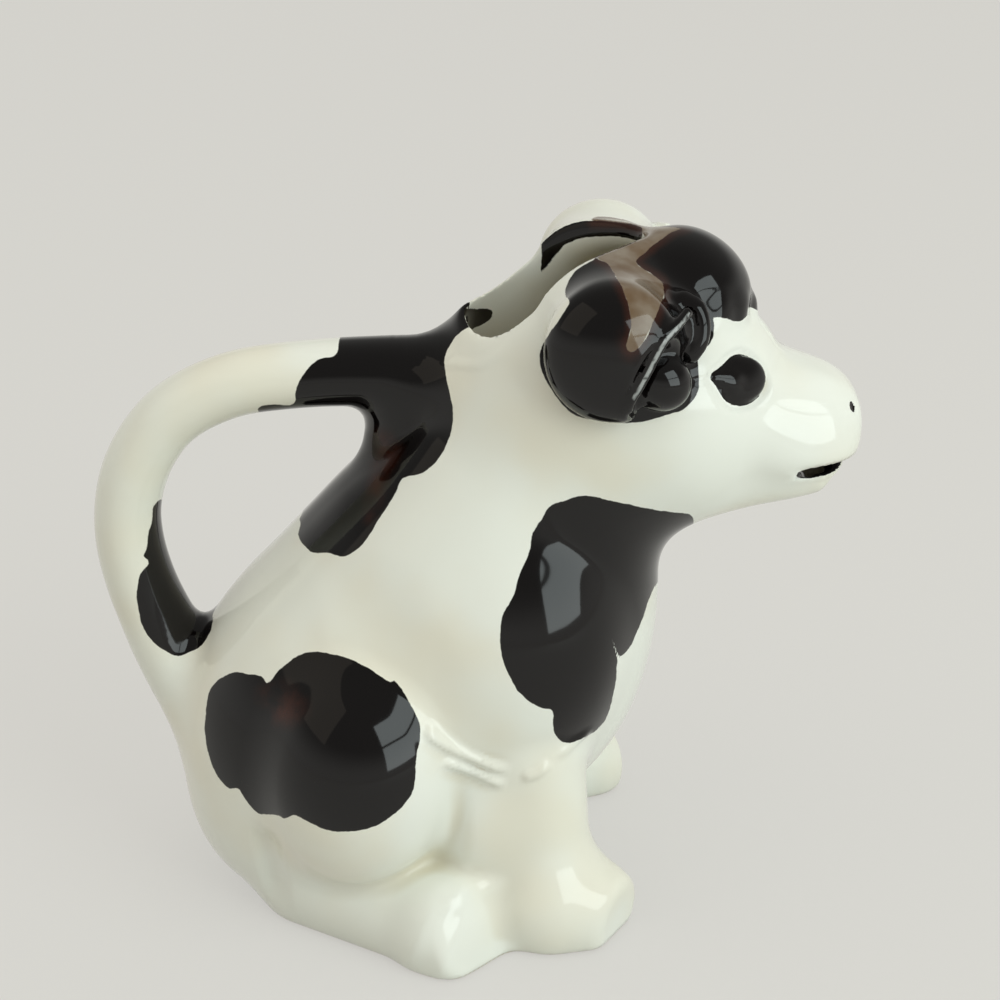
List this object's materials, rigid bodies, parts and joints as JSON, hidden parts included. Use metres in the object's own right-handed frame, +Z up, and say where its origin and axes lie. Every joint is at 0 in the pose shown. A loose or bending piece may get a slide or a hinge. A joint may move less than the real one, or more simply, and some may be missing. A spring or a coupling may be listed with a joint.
{
  "type": "cow creamer",
  "caption": "Seated cow cream jug in glazed earthenware, with the curled tail as its handle, a fill opening behind the crown and a pouring slot at the lips.",
  "frame": {"origin": "on the plane the cow stands on, at the middle of its length and of its width", "axes": "+X towards the nose, +Y towards the cow's left, +Z up"},
  "size_m": [0.1198, 0.0762, 0.109],
  "materials": {
    "white_glazed_earthenware": "gloss",
    "black_glazed_earthenware": "gloss"
  },
  "bodies": {
    "root": {"torso_shell": "white_glazed_earthenware", "head_shell": "white_glazed_earthenware", "poll_tuft": "black_glazed_earthenware", "tail_handle": "white_glazed_earthenware", "right_ear": "black_glazed_earthenware", "left_ear": "white_glazed_earthenware", "right_eye": "black_glazed_earthenware", "left_eye": "black_glazed_earthenware", "right_foreleg": "white_glazed_earthenware", "left_foreleg": "white_glazed_earthenware", "right_haunch": "white_glazed_earthenware", "left_haunch": "white_glazed_earthenware", "right_hind_foot": "white_glazed_earthenware", "left_hind_foot": "white_glazed_earthenware"}
  },
  "joints": []
}
